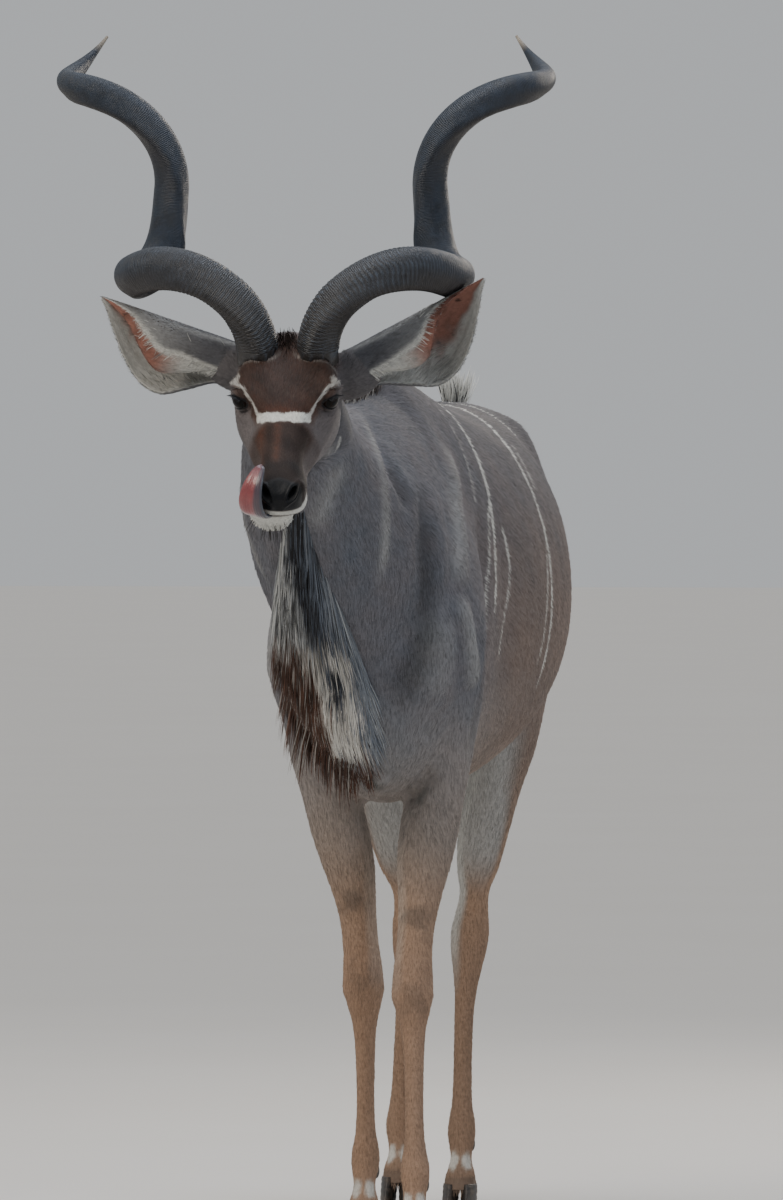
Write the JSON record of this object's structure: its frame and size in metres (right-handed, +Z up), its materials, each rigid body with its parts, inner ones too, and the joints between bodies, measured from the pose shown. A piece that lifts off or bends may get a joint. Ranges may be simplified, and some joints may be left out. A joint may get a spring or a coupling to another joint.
{
  "type": "greater kudu bull",
  "caption": "Life-size greater kudu bull standing still with spiral horns, spread ears and a throat mane, its tongue curled up over its muzzle.",
  "frame": {"origin": "on the ground under the middle of the whole animal", "axes": "+Z up, the animal faces -Y, its left side is +X"},
  "size_m": [0.8174, 2.2694, 2.0097],
  "materials": {
    "hide": "short grey-brown coat with pale stripes",
    "face_hide": "short dark brown coat with a white chevron",
    "leg_hide": "short tawny coat",
    "horn": "satin keratin with pale tips",
    "hoof": "satin dark keratin",
    "eye": "wet and glossy",
    "tongue": "wet pink"
  },
  "bodies": {
    "root": {"head": "face_hide", "lower_jaw": "face_hide", "tongue": "tongue", "eye_left": "eye", "eye_right": "eye", "ear_left": "hide", "ear_right": "hide", "horn_left": "horn", "horn_right": "horn", "neck": "hide", "torso": "hide", "tail": "hide", "foreleg_left_upper": "leg_hide", "foreleg_left_lower": "leg_hide", "foreleg_left_hoof_a": "hoof", "foreleg_left_hoof_b": "hoof", "foreleg_right_upper": "leg_hide", "foreleg_right_lower": "leg_hide", "foreleg_right_hoof_a": "hoof", "foreleg_right_hoof_b": "hoof", "hindleg_left_upper": "leg_hide", "hindleg_left_lower": "leg_hide", "hindleg_left_hoof_a": "hoof", "hindleg_left_hoof_b": "hoof", "hindleg_right_upper": "leg_hide", "hindleg_right_lower": "leg_hide", "hindleg_right_hoof_a": "hoof", "hindleg_right_hoof_b": "hoof"}
  },
  "joints": []
}
